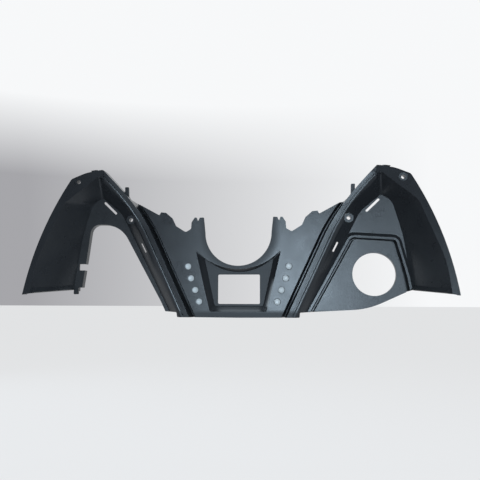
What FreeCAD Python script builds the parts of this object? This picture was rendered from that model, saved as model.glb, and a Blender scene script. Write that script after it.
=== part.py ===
import FreeCAD, Part
import os
from math import sin, tan

# Inner panel of a scooter's leg shield, one moulded shell.  Millimetres.
# X runs to the rider's right, Y forward away from the rider, Z up.
# The origin lies midway between the seats of the two upper screws.
Vector = FreeCAD.Vector

# Walls, and depths along Y of the surfaces the rider sees
WALL = 2.5
RIB = 2.0
FACE_Y = 24.0
FLOOR_Y = 32.0
POCKET_Y = 36.0
RIM_Y = -2.0
RIM_SLOPE = 0.2
FAR = 120.0

# Rail beside the console: straight up to its bend, then turning outward
RAIL_BEND_X = 112.0
RAIL_BEND_Z = -76.0
RAIL_LEAN = 0.467
RAIL_CURVE = 0.00317
RAIL_TURN = 75.0
RAIL_TOP_Z = 26.0
RAIL_LOW_Z = -196.0
RAIL_STEPS = 14
RAIL_RIBS = [-165, -140, -115, -78, -35]
RIB_TOP = 15.0
RIB_FOOT = 25.0

# Section of the rail, outward from the console: groove, slope, channel, ridge, shoulder
GROOVE_Y = 38.0
GROOVE_WIDTH = 7.0
GROOVE_BED = 1.0
CREST_LOW_Y = 15.0
CREST_HIGH_Y = 2.0
CREST_LOW_Z = -66.0
CREST_HIGH_Z = 17.0
CREST_WALL = 4.0
CREST_ROUND = 1.8
CREST_WIDTH = 26.0
SLOPE_DROP = 6.0
CHANNEL_START = 13.0
CHANNEL_WIDTH = 1.6
CHANNEL_TOP = 1.4
CHANNEL_DEPTH = 2.6
SHOULDER_START = 17.5
SHOULDER_ROUND = 5.0
SHOULDER_DROP = 4.0
EDGE_ROUND = 0.9
DRAFT = 0.8
STEP = 0.6
LAP = 4.0
HALF_LAP = 5.0

# Outlines as corners (x, z, rounding radius), anticlockwise as the rider sees them
WELL_FLOOR = [(87.7, -200, 0), (245, -200, 0), (226.3, -74, 130), (212.5, -26, 20), (197.5, -17.8, 4),
              (169, -41, 40)]
WELL_RIM = [(22.6, -200, 0), (277.5, -200, 0), (270.5, -114, 150), (240.5, -32, 18), (193.5, 8.5, 3),
            (125, -41, 40)]
WING = [(200, -12, 0), (232, -45, 0), (258, -165, 0), (284.5, -165, 0), (273, -71.7, 430), (233.2, 4.2, 7),
        (213, 13.2, 60), (189.5, 17.4, 1), (188, 4, 0)]
RIM_SLAB = [(150, -180, 0), (320, -180, 0), (320, 50, 0), (150, 50, 0)]
PEAK = [(182.5, 8.5, 0), (196, 8, 0), (206, 2, 0), (206, 13.6, 0), (189, 17, 0)]
PEAK_BACK = [(146, -23, 0), (155.5, -23, 0), (192.6, 18, 0), (150, 18, 0)]
PEAK_BACK_Y = 22.0
RIGHT_EDGE = [(0, -188.5, 0), (84.5, -188, 1.5), (85, -181.2, 1), (178, -176.3, 110), (236, -150, 2),
              (300, -161, 0), (300, 17.2, 0), (188.4, 17.2, 2), (161, -12.2, 0), (161.3, -5, 1),
              (155.8, -5, 1), (155.2, -19.2, 0), (151.6, -23.7, 2), (146, -26.5, 2), (112.5, -44.8, 1),
              (110.2, -40.6, 1), (103, -41.3, 1.5), (93.5, -49.5, 3), (88.5, -60.3, 4), (74.3, -69.3, 4),
              (66.8, -64.6, 2), (66.2, -55.5, 1), (61.8, -48.6, 1), (59, -48.6, 0.8), (57, -54.5, 0.8),
              (54.6, -48.8, 0.8), (48.8, -48.5, 1), (46.5, -70, 0), (46.5, -116.8, 46.4)]
POCKET_TOP = [(-39.5, -180.5, 3), (39.5, -180.5, 3), (60, -94, 1.2), (0, -155, 79), (-60, -94, 1.2)]
POCKET_FLOOR = [(-34, -172.5, 3), (34, -172.5, 3), (49, -104, 1.2), (0, -149.6, 67.5), (-49, -104, 1.2)]
WINDOW = [(-29.5, -169.6, 2), (29.5, -169.6, 2), (29.5, -128.4, 2), (-29.5, -128.4, 2)]
ARCH = [(94, -200, 0), (231.4, -200, 0), (231.4, -147, 0), (225.2, -147, 0.5), (219.5, -105, 60),
        (213.5, -56.5, 13), (171, -57, 40), (110, -166.5, 30)]
ARCH_FOOT = [(230.5, -156.5, 1), (237.5, -156.5, 1), (237.5, -143, 0), (230.5, -143, 0)]
ARCH_NOTCH = [(214, -122.4, 0), (230, -122.4, 1), (230, -113.4, 1), (214, -113.4, 0)]
ARCH_RETURN = 10.0

# Plate with the round hole, let into the right well inside a raised rim
RECESS = [(93.2, -190, 0), (240, -190, 0), (230.5, -133, 120), (216.5, -81.5, 6), (155.7, -77.5, 8)]
PLATE = [(98.8, -190, 0), (235, -190, 0), (226.3, -133, 120), (213, -83.4, 6), (160.2, -79.5, 8)]
PLATE_Y = 35.0
PLATE_GROOVE_Y = 42.0
GROOVE_BED_OUTER = 0.4
GROOVE_BED_INNER = 0.6
RAISED_HEIGHT = 4.5
RAISED_TOP = 3.0
RAISED_FOOT = 8.5
ROUND_HOLE = (187.0, -128.4)
ROUND_HOLE_R = 29.7
ROUND_COLLAR = 3.0
ROUND_COLLAR_DEPTH = 7.0

# Screw holes, dimples beside the pocket and slots
UPPER_SCREW = (223.2, 0.0)
UPPER_HOLE_R = 2.75
UPPER_SEAT_R = 6.0
UPPER_BOSS_R = 8.0
UPPER_BOSS_END = 11.0
CONSOLE_SCREW = (152.2, -51.7)
CONSOLE_PAD_Y = 19.5
CONSOLE_HOLE_R = 2.75
CONSOLE_BOSS_R = 6.5
CONSOLE_BOSS_END = 29.0
DIMPLES = [(70.2, -117.6), (65.9, -134.2), (59.9, -150.4), (54.2, -166.5)]
DIMPLE_R = 5.2
DIMPLE_DEPTH = 1.5
FLOOR_SLOT = [(178.2, -40.2), (194.4, -24.8)]
FLOOR_SLOT_R = 1.6
WALL_SLOT = [(136.6, -85.5), (130.8, -97.0)]
WALL_SLOT_R = 1.1

# Turned-back wing edge, its gussets, the lip at the wing's foot and the tab on the rail
SKIRT_DEPTH = 9.0
WING_GUSSETS = [-132, -100, -68, -36]
GUSSET_START = 225.0
LIP_FOOT_Z = -143.5
LIP_RIM_Z = -148.5
LIP_DROP = 8.0
LIP_WIDTH = 8.0
LIP_WALL = 3.0
TAB = [(152, -24, 0), (168, -8, 0), (162, -2, 0), (155, -2, 0)]
TAB_Y = 17.0


def level(y):
    """Places outline points at one depth."""
    return lambda p: Vector(p.x, y, p.z)


def rim(p):
    """Places outline points on the leaning plane of the wing rims."""
    return Vector(p.x, RIM_Y + RIM_SLOPE * p.z, p.z)


def rounded(corners):
    """Start, middle and end of the arc at every corner of an outline."""
    points = [Vector(x, 0, z) for x, z, r in corners]
    spans = []
    for i, (x, z, r) in enumerate(corners):
        here = points[i]
        back = (points[i - 1] - here).normalize()
        ahead = (points[(i + 1) % len(points)] - here).normalize()
        half = back.getAngle(ahead) / 2
        bisector = (back + ahead).normalize()
        centre = here + bisector * (r / sin(half))
        reach = r / tan(half)
        spans.append((here + back * reach, centre - bisector * r, here + ahead * reach))
    return spans


def outline(corners, place):
    """Closed wire through rounded corners."""
    spans = rounded(corners)
    edges = []
    for i, (start, middle, end) in enumerate(spans):
        if corners[i][2] > 0:
            edges.append(Part.Arc(place(start), place(middle), place(end)).toShape())
        following = spans[(i + 1) % len(spans)][0]
        if (following - end).Length > 0.01:
            edges.append(Part.makeLine(place(end), place(following)))
    return Part.Wire(edges)


def section(corners, z):
    """Closed wire (x, y) at one height, with two flats at every rounded corner."""
    points = []
    for (start, middle, end), corner in zip(rounded(corners), corners):
        points += [start, middle, end] if corner[2] > 0 else [start]
    return Part.makePolygon([Vector(p.x, p.z, z) for p in points + points[:1]])


def grown(corners, distance):
    """The same outline with every side moved outward."""
    result = []
    count = len(corners)
    for i, (x, z, r) in enumerate(corners):
        here = Vector(x, 0, z)
        back = (here - Vector(corners[i - 1][0], 0, corners[i - 1][1])).normalize()
        following = corners[(i + 1) % count]
        ahead = (Vector(following[0], 0, following[1]) - here).normalize()
        normal_back = Vector(back.z, 0, -back.x)
        normal_ahead = Vector(ahead.z, 0, -ahead.x)
        mitre = (normal_back + normal_ahead) / (1 + normal_back.dot(normal_ahead))
        convex = back.x * ahead.z - back.z * ahead.x > 0
        radius = 0 if r == 0 else max(r + distance if convex else r - distance, 0.3)
        moved = here + mitre * distance
        result.append((moved.x, moved.z, radius))
    return result


def between(corners, others, share):
    """Outline part of the way from one outline to another with as many corners."""
    pairs = zip(corners, others)
    return [tuple(a + (b - a) * share for a, b in zip(corner, other)) for corner, other in pairs]


def mirrored(corners):
    """An outline carried over to the rider's left."""
    return [(-x, z, r) for x, z, r in reversed(corners)]


def prism(corners, near, far):
    """Straight block between two depths."""
    return Part.Face(outline(corners, level(near))).extrude(Vector(0, far - near, 0))


def tapered(near_corners, near, far_corners, far):
    """Block that runs from one outline to another."""
    ends = [outline(near_corners, level(near)), outline(far_corners, level(far))]
    return Part.makeLoft(ends, True, True)


def cylinder(centre, radius, near, far):
    """Round block along Y between two depths."""
    return Part.makeCylinder(radius, far - near, Vector(centre[0], near, centre[1]), Vector(0, 1, 0))


def slot(ends, radius, near, far):
    """Round-ended block between two depths."""
    (x0, z0), (x1, z1) = ends
    along = Vector(x1 - x0, 0, z1 - z0).normalize() * radius
    across = Vector(along.z, 0, -along.x)
    a, b = Vector(x0, near, z0), Vector(x1, near, z1)
    edges = [Part.makeLine(a + across, b + across), Part.Arc(b + across, b + along, b - across).toShape(),
             Part.makeLine(b - across, a - across), Part.Arc(a - across, a - along, a + across).toShape()]
    return Part.Face(Part.Wire(edges)).extrude(Vector(0, far - near, 0))


def rail_x(z):
    """Where the console face ends beside the rail at a height."""
    rise = max(z - RAIL_BEND_Z, 0)
    bent = min(rise, RAIL_TURN)
    straight = (rise - bent) * 2 * RAIL_CURVE * RAIL_TURN
    return RAIL_BEND_X + RAIL_LEAN * (z - RAIL_BEND_Z) + RAIL_CURVE * bent * bent + straight


def crest_y(z):
    """Depth of the rail's crest, which comes nearer the rider towards the peak."""
    t = min(max((z - CREST_LOW_Z) / (CREST_HIGH_Z - CREST_LOW_Z), 0), 1)
    return CREST_LOW_Y + (CREST_HIGH_Y - CREST_LOW_Y) * t * t * (3 - 2 * t)


def rail_heights():
    """Heights at which the rail's section is drawn."""
    step = (RAIL_TOP_Z - RAIL_LOW_Z) / RAIL_STEPS
    return [RAIL_LOW_Z + i * step for i in range(RAIL_STEPS + 1)]


def rail_section(z):
    """Groove, slope, ridge and shoulder of the right rail at one height."""
    x, crest = rail_x(z), crest_y(z)
    wall, channel, shoulder, end = x + GROOVE_WIDTH, x + CHANNEL_START, x + SHOULDER_START, x + CREST_WIDTH
    ridge, bed, slant = channel + CHANNEL_WIDTH, crest + CHANNEL_DEPTH, DRAFT / 3
    side = (GROOVE_WIDTH - GROOVE_BED) / 2
    front = [(x - LAP, FACE_Y + STEP, 0), (x, FACE_Y + STEP, EDGE_ROUND), (x + side, GROOVE_Y, 0),
             (wall - side, GROOVE_Y, 0), (wall, crest + SLOPE_DROP, EDGE_ROUND),
             (channel, crest + CHANNEL_TOP, 0), (channel + slant, bed, 0), (ridge - slant, bed, 0),
             (ridge, crest, CREST_ROUND), (shoulder, crest, SHOULDER_ROUND), (end, crest + SHOULDER_DROP, 0)]
    tongue, back_y = FACE_Y + WALL - STEP, GROOVE_Y + WALL
    back = [(end, crest + SHOULDER_DROP + CREST_WALL, 0), (shoulder, crest + CREST_WALL, 0),
            (channel, crest + CHANNEL_DEPTH + RIB, 0), (wall + WALL, crest + SLOPE_DROP + RIB, 0),
            (wall - side + WALL, back_y, 0), (x + side - WALL, back_y, 0), (x - WALL, tongue, 0),
            (x - LAP, tongue, 0)]
    return section(front + back, z)


def console_plate():
    """Right half of the flat console face, up to the groove."""
    side = [Vector(rail_x(z) - EDGE_ROUND, FACE_Y, z) for z in rail_heights()]
    curve = Part.BSplineCurve()
    curve.interpolate(side)
    low, high = Vector(-HALF_LAP, FACE_Y, RAIL_LOW_Z), Vector(-HALF_LAP, FACE_Y, RAIL_TOP_Z)
    edges = [Part.makeLine(low, side[0]), curve.toShape(), Part.makeLine(side[-1], high)]
    edges.append(Part.makeLine(high, low))
    return Part.Face(Part.Wire(edges)).extrude(Vector(0, WALL, 0))


def rail():
    """Groove and ridged rail beside the console."""
    return Part.makeLoft([rail_section(z) for z in rail_heights()], True, False)


def before_crest():
    """Space on the rider's side of the rail crest."""
    def opening(z):
        x, crest = rail_x(z), crest_y(z) + STEP
        low, end = crest + SHOULDER_DROP, x + CREST_WIDTH - RIB
        corners = [(0, -FAR, 0), (end, -FAR, 0), (end, low, 0), (x + SHOULDER_START, crest, 0),
                   (x + CHANNEL_START, crest + CHANNEL_DEPTH, 0), (0, crest + CHANNEL_DEPTH, 0)]
        return section(corners, z)
    return Part.makeLoft([opening(z) for z in rail_heights()], True, False)


def well_inside():
    """Space of the knee well, from its floor to the rim plane."""
    return Part.makeLoft([outline(WELL_FLOOR, level(FLOOR_Y)), outline(WELL_RIM, rim)], True, True)


def well_block():
    """The well with its wall thickness, cut back to the rail crest."""
    floor = outline(grown(WELL_FLOOR, WALL), level(FLOOR_Y + WALL))
    top = outline(grown(WELL_RIM, WALL), rim)
    return Part.makeLoft([floor, top], True, True).cut(before_crest())


def behind_rim(depth):
    """Slab behind the leaning rim plane."""
    return Part.Face(outline(RIM_SLAB, rim)).extrude(Vector(0, depth, 0))


def wing_flange():
    """Flange round the well with its turned-back edge, tied to the rail at the peak."""
    wing = prism(WING, -FAR, FAR)
    flange = behind_rim(WALL).common(wing)
    skirt = behind_rim(SKIRT_DEPTH).common(wing).cut(prism(grown(WING, -WALL), -FAR, FAR))
    peak = prism(PEAK, CREST_HIGH_Y + STEP, CREST_HIGH_Y + SKIRT_DEPTH)
    return flange.fuse([skirt, peak])


def wing_gussets():
    """Thin plates that tie the turned-back edge to the well wall."""
    plates = []
    for z in WING_GUSSETS:
        plate = Part.makeBox(FAR, 2 * FAR, RIB, Vector(GUSSET_START, -FAR, z))
        plate = plate.common(behind_rim(SKIRT_DEPTH - 1))
        plates.append(plate.common(prism(grown(WING, -WALL / 2), -FAR, FAR)))
    return plates


def rail_ribs():
    """Cross ribs in the hollow behind the rail."""
    ribs = []
    for z in RAIL_RIBS:
        x, crest = rail_x(z) + GROOVE_WIDTH, crest_y(z) + CREST_WALL - STEP
        low = crest + SLOPE_DROP - CHANNEL_DEPTH
        corners = [(x + 1, low, 0), (x + GROOVE_WIDTH, crest, 0), (x + RIB_TOP, crest, 0),
                   (x + RIB_FOOT, FLOOR_Y + 1, 0), (x - 1, GROOVE_Y + 1, 0)]
        ribs.append(Part.Face(section(corners, z)).extrude(Vector(0, 0, RIB)))
    return ribs


def side_x(corners, z):
    """Where the outer side of a well outline runs at a height."""
    (x0, z0, r0), (x1, z1, r1) = corners[1:3]
    return x0 + (x1 - x0) * (z - z0) / (z1 - z0)


def lip():
    """Sloping lip along the foot of the wing wall."""
    def band(drop, width):
        low, high = LIP_FOOT_Z - drop, LIP_RIM_Z - drop
        foot = Vector(side_x(WELL_FLOOR, low), FLOOR_Y, low)
        top = Vector(side_x(WELL_RIM, high), RIM_Y + RIM_SLOPE * high, high)
        along = (top - foot).normalize()
        inward = Vector(along.y, -along.x, 0)
        start, end = foot + along * 2 * WALL - inward, top - along * WALL - inward
        reach = inward * (width + 1)
        return Part.makePolygon([start, end, end + reach, start + reach, start])
    wedge = Part.makeLoft([band(0, STEP), band(LIP_DROP, LIP_WIDTH)], True, True)
    return wedge.cut(wedge.translated(Vector(0, 0, -LIP_WALL)))


def half_panel():
    """Everything both sides share, for the rider's right."""
    tab = prism(TAB, TAB_Y, TAB_Y + WALL)
    upper_boss = cylinder(UPPER_SCREW, UPPER_BOSS_R, RIM_Y + RIB, UPPER_BOSS_END)
    parts = [rail(), well_block(), wing_flange(), tab, upper_boss] + wing_gussets() + rail_ribs()
    body = console_plate().fuse(parts).cut(well_inside())
    body = body.fuse([lip(), cylinder(CONSOLE_SCREW, CONSOLE_BOSS_R, CONSOLE_PAD_Y, CONSOLE_BOSS_END)])
    holes = [prism(PEAK_BACK, PEAK_BACK_Y, FAR), cylinder(UPPER_SCREW, UPPER_SEAT_R, -FAR, 0),
             cylinder(UPPER_SCREW, UPPER_HOLE_R, -FAR, FAR),
             cylinder(CONSOLE_SCREW, CONSOLE_BOSS_R, -FAR, CONSOLE_PAD_Y),
             cylinder(CONSOLE_SCREW, CONSOLE_HOLE_R, -FAR, FAR),
             slot(FLOOR_SLOT, FLOOR_SLOT_R, -FAR, FAR), slot(WALL_SLOT, WALL_SLOT_R, -FAR, FAR)]
    return body.cut(holes)


def hole_plate(body):
    """Recessed plate with the round hole, and the raised rim and groove round it."""
    top_y = FLOOR_Y - RAISED_HEIGHT
    raised = tapered(grown(RECESS, RAISED_TOP), top_y, grown(RECESS, RAISED_FOOT), FLOOR_Y + 1)
    backing = prism(grown(RECESS, WALL), FLOOR_Y, PLATE_GROOVE_Y + WALL)
    body = body.fuse([raised.common(well_inside()), backing])
    recess = tapered(RECESS, top_y - 1, between(RECESS, PLATE, GROOVE_BED_OUTER), PLATE_GROOVE_Y)
    plate = tapered(PLATE, PLATE_Y, between(RECESS, PLATE, GROOVE_BED_INNER), PLATE_GROOVE_Y + 1)
    body = body.cut([recess.cut(plate), prism(grown(PLATE, -WALL), PLATE_Y + WALL, FAR)])
    collar = cylinder(ROUND_HOLE, ROUND_HOLE_R + ROUND_COLLAR, PLATE_Y + 1, PLATE_Y + ROUND_COLLAR_DEPTH)
    return body.fuse(collar).cut(cylinder(ROUND_HOLE, ROUND_HOLE_R, -FAR, FAR))


def arch(body):
    """Opening on the rider's left, with its edge turned back."""
    corners = mirrored(ARCH)
    body = body.fuse(prism(grown(corners, WALL), FLOOR_Y, FLOOR_Y + ARCH_RETURN))
    return body.cut([prism(corners, -FAR, FAR), prism(mirrored(ARCH_NOTCH), -FAR, FAR)])


def centre_cuts(body):
    """Pocket with its window, and the rows of round dimples beside it."""
    shell = tapered(grown(POCKET_TOP, WALL), FACE_Y, grown(POCKET_FLOOR, WALL), POCKET_Y + WALL)
    body = body.fuse(shell).cut(tapered(POCKET_TOP, FACE_Y, POCKET_FLOOR, POCKET_Y))
    ball = (DIMPLE_R ** 2 + DIMPLE_DEPTH ** 2) / (2 * DIMPLE_DEPTH)
    cuts = [prism(WINDOW, -FAR, FAR)]
    for x, z in DIMPLES:
        for side in (1, -1):
            cuts.append(Part.makeSphere(ball, Vector(side * x, FACE_Y + DIMPLE_DEPTH - ball, z)))
    return body.cut(cuts)


def trimmed(body):
    """Cuts the panel to its outline."""
    left = [(-x, z, r) for x, z, r in reversed(RIGHT_EDGE[1:])]
    return body.common(prism(RIGHT_EDGE + left, -FAR, FAR))


right = half_panel()
left = right.mirror(Vector(0, 0, 0), Vector(1, 0, 0))
panel = trimmed(centre_cuts(hole_plate(right).fuse(arch(left))))
panel = panel.fuse(prism(mirrored(ARCH_FOOT), FLOOR_Y, FLOOR_Y + WALL)).removeSplitter()
os.makedirs("parts", exist_ok=True)
panel.Solids[0].exportStep("parts/inner_panel.step")
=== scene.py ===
from math import cos, radians, sin

import bmesh
import bpy
from bpy.props import FloatProperty, FloatVectorProperty, PointerProperty
from mathutils import Matrix, Vector


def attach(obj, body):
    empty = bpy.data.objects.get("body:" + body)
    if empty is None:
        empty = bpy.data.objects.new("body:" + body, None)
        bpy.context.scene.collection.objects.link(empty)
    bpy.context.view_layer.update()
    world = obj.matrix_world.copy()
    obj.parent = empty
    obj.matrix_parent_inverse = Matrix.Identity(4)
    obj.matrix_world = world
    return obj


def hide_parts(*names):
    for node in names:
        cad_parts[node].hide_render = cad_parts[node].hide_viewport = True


bl_info = {
    "name": "Scooter inner panel",
    "version": (1, 0, 0),
    "blender": (4, 5, 0),
    "location": "View3D > Sidebar > Inner Panel",
    "description": "Dresses the moulded inner panel of a scooter's leg shield and sets its studio",
    "category": "Object",
}

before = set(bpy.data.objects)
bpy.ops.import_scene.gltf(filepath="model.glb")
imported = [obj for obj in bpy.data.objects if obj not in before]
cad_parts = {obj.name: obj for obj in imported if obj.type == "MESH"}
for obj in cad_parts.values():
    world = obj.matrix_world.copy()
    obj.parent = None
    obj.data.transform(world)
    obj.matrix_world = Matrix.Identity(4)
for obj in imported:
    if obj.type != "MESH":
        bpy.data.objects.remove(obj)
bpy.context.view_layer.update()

# The panel's middle, which the lamps and the camera face
MIDDLE = Vector((0, 0.024, -0.0817))

# Making the shell: corners this close are one, and faces that turn less than this are one
MERGE_GAP = 1e-6
FLAT_ANGLE = radians(0.3)

# The rail beside the console: its foot leans out and bends, its crest comes nearer towards the peak
RAIL_BEND_X, RAIL_BEND_Z = 0.112, -0.076
RAIL_LEAN, RAIL_CURVE, RAIL_TURN = 0.467, 3.17, 0.075
CREST_LOW_Y, CREST_LOW_Z = 0.015, -0.066
CREST_HIGH_Y, CREST_HIGH_Z = 0.002, 0.017

# The inner stripe's slope: where it starts and ends, out from the rail's foot and in from its crest,
# and how far off it a corner still belongs to it
SLOPE_START, SLOPE_LOW = 0.007, 0.006
SLOPE_END, SLOPE_HIGH = 0.013, 0.0014
SLOPE_SLACK, SLOPE_SLACK_OUT = 0.0008, 0.0002

# The levelled inner stripe: how far in from the crest, and how far its inner edge comes up lower down
STRIPE_LEVEL = 0.0009
STRIPE_TURN, TURN_TOP_Z, TURN_LOW_Z = 0.0004, -0.030, -0.075

# The outer stripe's corners: spans out from the foot and in from the crest, and how far each comes up
RIDGE_CORNERS = ((0.01485, 0.0154, 0.0003, 0.00075, 0.00025),
                 (0.0172, 0.0178, 0.00005, 0.0003, 0.0001),
                 (0.0182, 0.0188, 0.0003, 0.00065, 0.0003))

# Dimples beside the pocket, as distances from the middle and heights
DOTS = ((0.0702, -0.1176), (0.0659, -0.1342), (0.0599, -0.1504), (0.0542, -0.1665))

# The painted light spots in the dimples: their depth, how much thinner than wide they are, and the share
# that is all pale
DOT_DEPTH, DOT_THINNESS, PAINTED_SPOT_CORE = 0.0251, 5.0, 0.6

# The pocket lies deeper than the console's face, and nearer the middle than anything else as deep
POCKET_TOP_Y, POCKET_DEEP_Y = 0.0270, 0.0295
POCKET_NEAR_X, POCKET_FAR_X = 0.070, 0.080

# The notch's round foot: height of its centre, and where the matt band round the notch starts and ends
NOTCH_CENTRE_Z = -0.0704
BAND_START, BAND_END = 0.047, 0.061

# The console's lower edge: where it starts to turn matt and where it is all matt
FOOT_START_Z, FOOT_FULL_Z = -0.1775, -0.1825

# The haze: patches in a metre, their detail, and the noise at which it starts and is full
HAZE_SCALE, HAZE_DETAIL = 14.0, 5.0
HAZE_START, HAZE_FULL = 0.42, 0.78

# The scuffs: patches in a metre, their detail, and how far they change the roughness
SCUFF_SCALE, SCUFF_DETAIL = 60.0, 3.0
SCUFF_SMOOTHER, SCUFF_ROUGHER = 0.06, 0.08

# How strongly the moulded grain shows
GRAIN_STRENGTH = 0.35

# The floor: its reach on each side, and the share of the backdrop's colour that it shows
FLOOR_REACH = 60.0
FLOOR_GLOW = 0.8

# The lamps: where each stands, and its width and height
KEY_PLACE, KEY_SIZE = Vector((0.045, -1.18, -0.13)), (0.40, 0.46)
SIDE_PLACE, SIDE_SIZE = Vector((0.55, -1.10, -0.05)), (0.20, 0.75)
TOP_PLACE, TOP_SIZE = Vector((-0.10, 0.15, 0.92)), (1.2, 1.2)
BACK_PLACE, BACK_SIZE = Vector((-1.20, 0.75, 0.30)), (0.8, 0.6)

# The surroundings by direction: shaded to pale across, pale above, dark at both sides and behind
SHADED_X, PALE_X = -0.42, 0.21
LEVEL_Z, ABOVE_Z = 0.20, 0.32
CORNER_Y, AHEAD_Y = 0.35, 0.75

# The rays that show the surroundings, while all others get the room's light
SEEN_RAYS = ("Is Camera Ray", "Is Glossy Ray", "Is Transmission Ray")

# The photograph's framing: its width and the camera's shift in pixels, and the sensor's width in mm
PHOTO_WIDTH = 480
SHIFT_RIGHT, SHIFT_UP = 1.8, 0.6
SENSOR_WIDTH = 36.0


class PanelSettings(bpy.types.PropertyGroup):
    """Finish of the moulded panel."""

    plastic: FloatVectorProperty(
        name="Plastic", description="Colour of the moulded plastic", subtype="COLOR",
        size=4, min=0.0, max=1.0, default=(0.012, 0.013, 0.015, 1.0))
    haze: FloatVectorProperty(
        name="Haze", description="Colour of the faint grey haze on handled plastic", subtype="COLOR",
        size=4, min=0.0, max=1.0, default=(0.018, 0.0195, 0.0215, 1.0))
    # Colour of the bright spots painted into the dimples: painted light that stands in for the light
    # showing there, not a colour the plastic has
    dot: FloatVectorProperty(
        name="Dot", description="Colour of the pale dots in the dimples", subtype="COLOR",
        size=4, min=0.0, max=1.0, default=(0.35, 0.37, 0.38, 1.0))
    painted_spot_radius: FloatProperty(
        name="Dot Radius", description="Radius at which a pale dot fades out", unit="LENGTH",
        min=0.0, max=0.01, default=0.0062)
    roughness: FloatProperty(
        name="Roughness", description="Roughness of the satin surface", subtype="FACTOR",
        min=0.0, max=1.0, default=0.28)
    matt_roughness: FloatProperty(
        name="Matt Roughness", description="Roughness of the pocket and of the console's edges",
        subtype="FACTOR", min=0.0, max=1.0, default=0.55)
    sheen: FloatProperty(
        name="Sheen", description="Strength of the plastic's reflection", subtype="FACTOR",
        min=0.0, max=1.0, default=0.30)
    sheen_tint: FloatVectorProperty(
        name="Sheen Tint", description="Colour of the plastic's reflection", subtype="COLOR",
        size=4, min=0.0, max=1.0, default=(0.86, 0.93, 1.0, 1.0))
    grain_size: FloatProperty(
        name="Grain Size", description="Width of one pebble of the moulded grain", unit="LENGTH",
        min=0.0001, max=0.01, default=0.0009)
    grain_depth: FloatProperty(
        name="Grain Depth", description="Depth of the moulded grain", unit="LENGTH",
        min=0.0, max=0.001, default=0.00005)
    crease: FloatProperty(
        name="Crease", description="Angle above which an edge stays sharp", subtype="ANGLE",
        min=0.0, max=radians(180), default=radians(40))


class StageSettings(bpy.types.PropertyGroup):
    """Floor, light and camera of the studio."""

    floor_height: FloatProperty(
        name="Floor Height", description="Height of the floor, measured from the upper screws",
        unit="LENGTH", default=-0.42)
    shade: FloatVectorProperty(
        name="Shade", description="Colour of the surroundings at the rider's left and of the bare floor",
        subtype="COLOR", size=4, min=0.0, max=1.0, default=(0.38, 0.38, 0.40, 1.0))
    backdrop: FloatVectorProperty(
        name="Backdrop", description="Colour of the pale surroundings at the rider's right and above",
        subtype="COLOR", size=4, min=0.0, max=1.0, default=(0.93, 0.94, 0.95, 1.0))
    corner: FloatVectorProperty(
        name="Corner", description="Colour of the surroundings at both sides and behind", subtype="COLOR",
        size=4, min=0.0, max=1.0, default=(0.20, 0.20, 0.21, 1.0))
    room: FloatVectorProperty(
        name="Room", description="Colour of the light that the room throws on the panel", subtype="COLOR",
        size=4, min=0.0, max=1.0, default=(0.18, 0.19, 0.20, 1.0))
    daylight: FloatVectorProperty(
        name="Daylight", description="Colour of the lamps", subtype="COLOR",
        size=3, min=0.0, max=1.0, default=(0.78, 0.91, 1.0))
    key_power: FloatProperty(
        name="Key Power", description="Power of the soft light behind the camera", unit="POWER",
        min=0.0, default=12.2)
    side_power: FloatProperty(
        name="Side Power", description="Power of the upright light at the rider's right", unit="POWER",
        min=0.0, default=4.5)
    top_power: FloatProperty(
        name="Top Power", description="Power of the soft light above the panel", unit="POWER",
        min=0.0, default=13.0)
    back_power: FloatProperty(
        name="Back Power", description="Power of the soft light behind the panel", unit="POWER",
        min=0.0, default=7.0)
    azimuth: FloatProperty(
        name="Azimuth", description="Angle of the camera towards the rider's right", subtype="ANGLE",
        default=radians(5.58))
    elevation: FloatProperty(
        name="Elevation", description="Angle of the camera above the panel's middle", subtype="ANGLE",
        default=radians(-6.01))
    roll: FloatProperty(
        name="Roll", description="Turn of the camera about its own axis", subtype="ANGLE",
        default=radians(0.19))
    distance: FloatProperty(
        name="Distance", description="Distance from the camera to the panel's middle", unit="LENGTH",
        default=0.837)
    lens: FloatProperty(
        name="Lens", description="Focal length on a sensor 36 mm wide", unit="CAMERA", default=45.0)


def empty_tree(owner):
    """Node tree of a new material or world, with nothing in it."""
    owner.use_nodes = True
    owner.node_tree.nodes.clear()
    return owner.node_tree


def vector_step(tree, operation, vector, value=(0, 0, 0)):
    """Result of one step of vector maths: a number for a length or distance, else a vector."""
    step = tree.nodes.new("ShaderNodeVectorMath")
    step.operation = operation
    tree.links.new(vector, step.inputs[0])
    step.inputs[1].default_value = value
    return step.outputs["Value" if operation in ("DISTANCE", "LENGTH") else "Vector"]


def joined(tree, operation, numbers):
    """One number from several, such as their least or greatest."""
    total = numbers[0]
    for number in numbers[1:]:
        step = tree.nodes.new("ShaderNodeMath")
        step.operation = operation
        tree.links.new(total, step.inputs[0])
        tree.links.new(number, step.inputs[1])
        total = step.outputs["Value"]
    return total


def ramp(tree, number, start, end, low=0.0, high=1.0, curve="LINEAR"):
    """Number that goes from low to high as another goes from start to end."""
    span = tree.nodes.new("ShaderNodeMapRange")
    span.interpolation_type = curve
    for name, value in (("From Min", start), ("From Max", end), ("To Min", low), ("To Max", high)):
        span.inputs[name].default_value = value
    tree.links.new(number, span.inputs["Value"])
    return span.outputs["Result"]


def mixed(tree, kind, share, low, high):
    """Number or colour between low and high, each of them a plain value or a socket."""
    mix = tree.nodes.new("ShaderNodeMix")
    mix.data_type = kind
    tree.links.new(share, mix.inputs["Factor"])
    for name, end in (("A", low), ("B", high)):
        if isinstance(end, bpy.types.NodeSocket):
            tree.links.new(end, mix.inputs[name])
        else:
            mix.inputs[name].default_value = end
    return mix.outputs["Result"]


def noise(tree, place, scale, detail):
    """Uneven patches, from zero to one."""
    patches = tree.nodes.new("ShaderNodeTexNoise")
    patches.inputs["Scale"].default_value = scale
    patches.inputs["Detail"].default_value = detail
    tree.links.new(place, patches.inputs["Vector"])
    return patches.outputs["Fac"]


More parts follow.
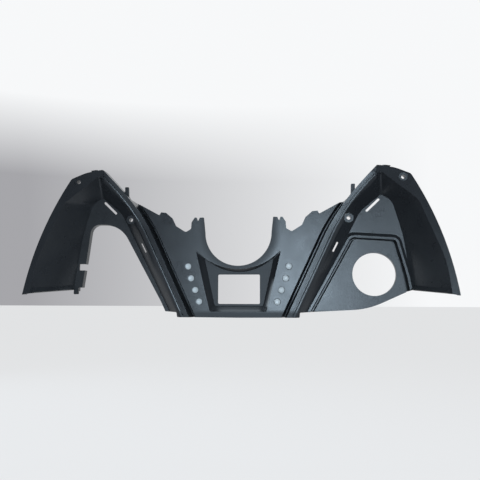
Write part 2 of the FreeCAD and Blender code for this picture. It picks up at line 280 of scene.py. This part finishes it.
def show_blend(tree, share, low, high, output):
    """Sends a blend of two shaders to the output."""
    blend = tree.nodes.new("ShaderNodeMixShader")
    tree.links.new(share, blend.inputs["Fac"])
    tree.links.new(low, blend.inputs[1])
    tree.links.new(high, blend.inputs[2])
    tree.links.new(blend.outputs["Shader"], output.inputs["Surface"])


def painted_spot_mask(tree, settings, place):
    """One in the middle of each dimple beside the pocket, fading to zero at its edge and behind it, where
    light spots are painted.
    """
    folded = vector_step(tree, "ABSOLUTE", place)
    thinned = vector_step(tree, "MULTIPLY", folded, (1, DOT_THINNESS, 1))
    away = [vector_step(tree, "DISTANCE", thinned, (x, DOT_DEPTH * DOT_THINNESS, -z)) for x, z in DOTS]
    nearest = joined(tree, "MINIMUM", away)
    return ramp(tree, nearest, settings.painted_spot_radius, settings.painted_spot_radius * PAINTED_SPOT_CORE, curve="SMOOTHSTEP")


def matt_mask(tree, place):
    """One in the pocket behind the console's face, round the notch and at the lower edge, else zero."""
    folded = vector_step(tree, "ABSOLUTE", place)
    split = tree.nodes.new("ShaderNodeSeparateXYZ")
    tree.links.new(folded, split.inputs["Vector"])
    near = ramp(tree, split.outputs["X"], POCKET_FAR_X, POCKET_NEAR_X)
    deep = ramp(tree, split.outputs["Y"], POCKET_TOP_Y, POCKET_DEEP_Y)
    pocket = joined(tree, "MULTIPLY", (near, deep))
    lowered = vector_step(tree, "SUBTRACT", folded, (0, 0, -NOTCH_CENTRE_Z))
    below = vector_step(tree, "MAXIMUM", lowered)
    flat = vector_step(tree, "MULTIPLY", below, (1, 0, 1))
    band = ramp(tree, vector_step(tree, "LENGTH", flat), BAND_END, BAND_START, curve="SMOOTHSTEP")
    foot = ramp(tree, split.outputs["Z"], -FOOT_START_Z, -FOOT_FULL_Z)
    return joined(tree, "MAXIMUM", (pocket, band, foot))


def moulded_plastic(settings):
    """Dark satin plastic with a pebbled grain, a faint haze, painted light spots in the dimples and matt
    edges.
    """
    material = bpy.data.materials.new("moulded_plastic")
    tree = empty_tree(material)
    output = tree.nodes.new("ShaderNodeOutputMaterial")
    shader = tree.nodes.new("ShaderNodeBsdfPrincipled")
    tree.links.new(shader.outputs["BSDF"], output.inputs["Surface"])
    shader.inputs["Specular IOR Level"].default_value = settings.sheen
    shader.inputs["Specular Tint"].default_value = settings.sheen_tint
    place = tree.nodes.new("ShaderNodeTexCoord").outputs["Object"]

    haze = ramp(tree, noise(tree, place, HAZE_SCALE, HAZE_DETAIL), HAZE_START, HAZE_FULL)
    tone = mixed(tree, "RGBA", haze, settings.plastic, settings.haze)
    # Paints pale spots into the dimples: painted light, not the plastic's own colour
    with_painted_spots = mixed(tree, "RGBA", painted_spot_mask(tree, settings, place), tone, settings.dot)
    tree.links.new(with_painted_spots, shader.inputs["Base Color"])

    scuff = noise(tree, place, SCUFF_SCALE, SCUFF_DETAIL)
    smoothest, roughest = settings.roughness - SCUFF_SMOOTHER, settings.roughness + SCUFF_ROUGHER
    satin = ramp(tree, scuff, 0.0, 1.0, smoothest, roughest)
    finish = mixed(tree, "FLOAT", matt_mask(tree, place), satin, settings.matt_roughness)
    tree.links.new(finish, shader.inputs["Roughness"])

    pebble = tree.nodes.new("ShaderNodeTexVoronoi")
    pebble.inputs["Scale"].default_value = 1.0 / settings.grain_size
    tree.links.new(place, pebble.inputs["Vector"])
    bump = tree.nodes.new("ShaderNodeBump")
    bump.inputs["Strength"].default_value = GRAIN_STRENGTH
    bump.inputs["Distance"].default_value = settings.grain_depth
    tree.links.new(pebble.outputs["Distance"], bump.inputs["Height"])
    tree.links.new(bump.outputs["Normal"], shader.inputs["Normal"])
    return material


def rail_foot(z):
    """Distance from the middle at which the rail's groove starts at a height."""
    rise = max(z - RAIL_BEND_Z, 0)
    bent = min(rise, RAIL_TURN)
    straight = (rise - bent) * 2 * RAIL_CURVE * RAIL_TURN
    return RAIL_BEND_X + RAIL_LEAN * (z - RAIL_BEND_Z) + RAIL_CURVE * bent * bent + straight


def rail_crest(z):
    """Depth of the rail's crest at a height."""
    share = min(max((z - CREST_LOW_Z) / (CREST_HIGH_Z - CREST_LOW_Z), 0), 1)
    return CREST_LOW_Y + (CREST_HIGH_Y - CREST_LOW_Y) * share * share * (3 - 2 * share)


def level_stripes(work):
    """Brings the two stripes of each rail up to flat tops, the inner one turned out a little lower down."""
    for vert in work.verts:
        out = abs(vert.co.x) - rail_foot(vert.co.z)
        down = vert.co.y - rail_crest(vert.co.z)
        across = (out - SLOPE_START) / (SLOPE_END - SLOPE_START)
        slope = SLOPE_LOW + (SLOPE_HIGH - SLOPE_LOW) * across
        within = SLOPE_START - SLOPE_SLACK < out < SLOPE_END + SLOPE_SLACK_OUT
        if within and abs(down - slope) < SLOPE_SLACK:
            turn = min(max((TURN_TOP_Z - vert.co.z) / (TURN_TOP_Z - TURN_LOW_Z), 0), 1)
            vert.co.y += STRIPE_LEVEL - STRIPE_TURN * turn * (1 - across) - slope
        for near, far, high, low, rise in RIDGE_CORNERS:
            if near < out < far and high < down < low:
                vert.co.y -= rise
                break


class OBJECT_OT_inner_panel(bpy.types.Operator):
    """Makes the moulded shell from the panel's solid, with smooth walls and level stripes on its rails"""

    bl_idname = "object.inner_panel_shell"
    bl_label = "Moulded Shell"

    def execute(self, context):
        settings = context.scene.panel_settings
        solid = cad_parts["inner_panel"]
        mesh = bpy.data.meshes.new("moulded_shell")
        work = bmesh.new()
        work.from_mesh(solid.data)
        bmesh.ops.transform(work, matrix=solid.matrix_world, verts=work.verts)
        bmesh.ops.remove_doubles(work, verts=work.verts, dist=MERGE_GAP)
        level_stripes(work)
        bmesh.ops.dissolve_limit(work, angle_limit=FLAT_ANGLE, verts=work.verts, edges=work.edges)
        for face in work.faces:
            face.smooth = True
        for edge in work.edges:
            edge.smooth = edge.calc_face_angle(0.0) < settings.crease
        work.to_mesh(mesh)
        work.free()
        shell = bpy.data.objects.new("moulded_shell", mesh)
        context.scene.collection.objects.link(shell)
        mesh.materials.append(moulded_plastic(settings))
        flats = shell.modifiers.new("flats", "WEIGHTED_NORMAL")
        flats.keep_sharp = True
        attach(shell, "root")
        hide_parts("inner_panel")
        return {"FINISHED"}


def seen_rays(tree):
    """One for rays that the camera, a reflection or glass sends, else zero."""
    path = tree.nodes.new("ShaderNodeLightPath")
    return joined(tree, "MAXIMUM", [path.outputs[name] for name in SEEN_RAYS])


def pale_floor(settings):
    """Pale matt floor that shows about as bright as the surroundings and keeps the shadow."""
    material = bpy.data.materials.new("pale_floor")
    tree = empty_tree(material)
    output = tree.nodes.new("ShaderNodeOutputMaterial")
    matt = tree.nodes.new("ShaderNodeBsdfDiffuse")
    matt.inputs["Color"].default_value = settings.shade
    glow = tree.nodes.new("ShaderNodeEmission")
    glow.inputs["Color"].default_value = settings.backdrop
    share = ramp(tree, seen_rays(tree), 0.0, 1.0, high=FLOOR_GLOW)
    show_blend(tree, share, matt.outputs["BSDF"], glow.outputs["Emission"], output)
    return material


class OBJECT_OT_inner_panel_stage(bpy.types.Operator):
    """Sets the floor, the lights, the surroundings and the camera"""

    bl_idname = "object.inner_panel_stage"
    bl_label = "Stage"

    def floor(self, context, settings):
        """Lays the wide floor below the panel."""
        mesh = bpy.data.meshes.new("floor")
        work = bmesh.new()
        bmesh.ops.create_grid(work, x_segments=1, y_segments=1, size=FLOOR_REACH)
        bmesh.ops.translate(work, verts=work.verts, vec=(0, 0, settings.floor_height))
        work.to_mesh(mesh)
        work.free()
        floor = bpy.data.objects.new("floor", mesh)
        context.scene.collection.objects.link(floor)
        mesh.materials.append(pale_floor(settings))

    def lamp(self, context, settings, name, place, size, power):
        """Sets up a soft lamp that faces the panel's middle and that the camera doesn't see."""
        light = bpy.data.lights.new(name, "AREA")
        light.shape = "RECTANGLE"
        light.size, light.size_y = size
        light.energy = power
        light.color = settings.daylight
        lamp = bpy.data.objects.new(name, light)
        context.scene.collection.objects.link(lamp)
        lamp.location = place
        lamp.visible_camera = False
        lamp.rotation_euler = (MIDDLE - place).to_track_quat("-Z", "Y").to_euler()

    def surroundings(self, context, settings):
        """Hangs the pale surroundings for seen rays, and gives all other rays the room's plain light."""
        world = bpy.data.worlds.new("surroundings")
        tree = empty_tree(world)
        output = tree.nodes.new("ShaderNodeOutputWorld")
        direction = tree.nodes.new("ShaderNodeTexCoord").outputs["Generated"]
        split = tree.nodes.new("ShaderNodeSeparateXYZ")
        tree.links.new(direction, split.inputs["Vector"])
        across = ramp(tree, split.outputs["X"], SHADED_X, PALE_X)
        level = mixed(tree, "RGBA", across, settings.shade, settings.backdrop)
        lower = ramp(tree, split.outputs["Z"], ABOVE_Z, LEVEL_Z)
        sheet = mixed(tree, "RGBA", lower, settings.backdrop, level)
        ahead = ramp(tree, split.outputs["Y"], CORNER_Y, AHEAD_Y)
        around = mixed(tree, "RGBA", ahead, settings.corner, sheet)
        seen = tree.nodes.new("ShaderNodeBackground")
        tree.links.new(around, seen.inputs["Color"])
        room = tree.nodes.new("ShaderNodeBackground")
        room.inputs["Color"].default_value = settings.room
        show_blend(tree, seen_rays(tree), room.outputs["Background"], seen.outputs["Background"], output)
        context.scene.world = world

    def camera(self, context, settings):
        """Places the camera as the photograph's stood, turned towards the panel's middle."""
        azimuth, elevation, roll = settings.azimuth, settings.elevation, settings.roll
        level = Vector((cos(azimuth), sin(azimuth), 0))
        back = Vector((sin(azimuth) * cos(elevation), -cos(azimuth) * cos(elevation), sin(elevation)))
        up = back.cross(level)
        right = cos(roll) * level + sin(roll) * up
        above = cos(roll) * up - sin(roll) * level
        data = bpy.data.cameras.new("camera")
        data.lens = settings.lens
        data.sensor_width = SENSOR_WIDTH
        data.shift_x = SHIFT_RIGHT / PHOTO_WIDTH
        data.shift_y = SHIFT_UP / PHOTO_WIDTH
        camera = bpy.data.objects.new("camera", data)
        context.scene.collection.objects.link(camera)
        pose = Matrix((right, above, back)).transposed().to_4x4()
        pose.translation = MIDDLE + back * settings.distance
        camera.matrix_world = pose
        context.scene.camera = camera

    def execute(self, context):
        settings = context.scene.stage_settings
        context.scene.view_settings.view_transform = "Standard"
        self.floor(context, settings)
        self.lamp(context, settings, "key", KEY_PLACE, KEY_SIZE, settings.key_power)
        self.lamp(context, settings, "side", SIDE_PLACE, SIDE_SIZE, settings.side_power)
        self.lamp(context, settings, "top", TOP_PLACE, TOP_SIZE, settings.top_power)
        self.lamp(context, settings, "back", BACK_PLACE, BACK_SIZE, settings.back_power)
        self.surroundings(context, settings)
        self.camera(context, settings)
        return {"FINISHED"}


class VIEW3D_PT_inner_panel(bpy.types.Panel):
    """Lists the settings and the steps that make the panel"""

    bl_label = "Inner Panel"
    bl_idname = "VIEW3D_PT_inner_panel"
    bl_space_type = "VIEW_3D"
    bl_region_type = "UI"
    bl_category = "Inner Panel"

    def draw(self, context):
        for group in (context.scene.panel_settings, context.scene.stage_settings):
            for name in group.__annotations__:
                self.layout.prop(group, name)
        self.layout.operator(OBJECT_OT_inner_panel.bl_idname)
        self.layout.operator(OBJECT_OT_inner_panel_stage.bl_idname)


classes = (
    PanelSettings,
    StageSettings,
    OBJECT_OT_inner_panel,
    OBJECT_OT_inner_panel_stage,
    VIEW3D_PT_inner_panel,
)


def register():
    for cls in classes:
        bpy.utils.register_class(cls)
    bpy.types.Scene.panel_settings = PointerProperty(type=PanelSettings)
    bpy.types.Scene.stage_settings = PointerProperty(type=StageSettings)


def unregister():
    del bpy.types.Scene.stage_settings
    del bpy.types.Scene.panel_settings
    for cls in reversed(classes):
        bpy.utils.unregister_class(cls)


def main():
    register()
    bpy.ops.object.inner_panel_shell()
    bpy.ops.object.inner_panel_stage()


if __name__ == "__main__":
    main()
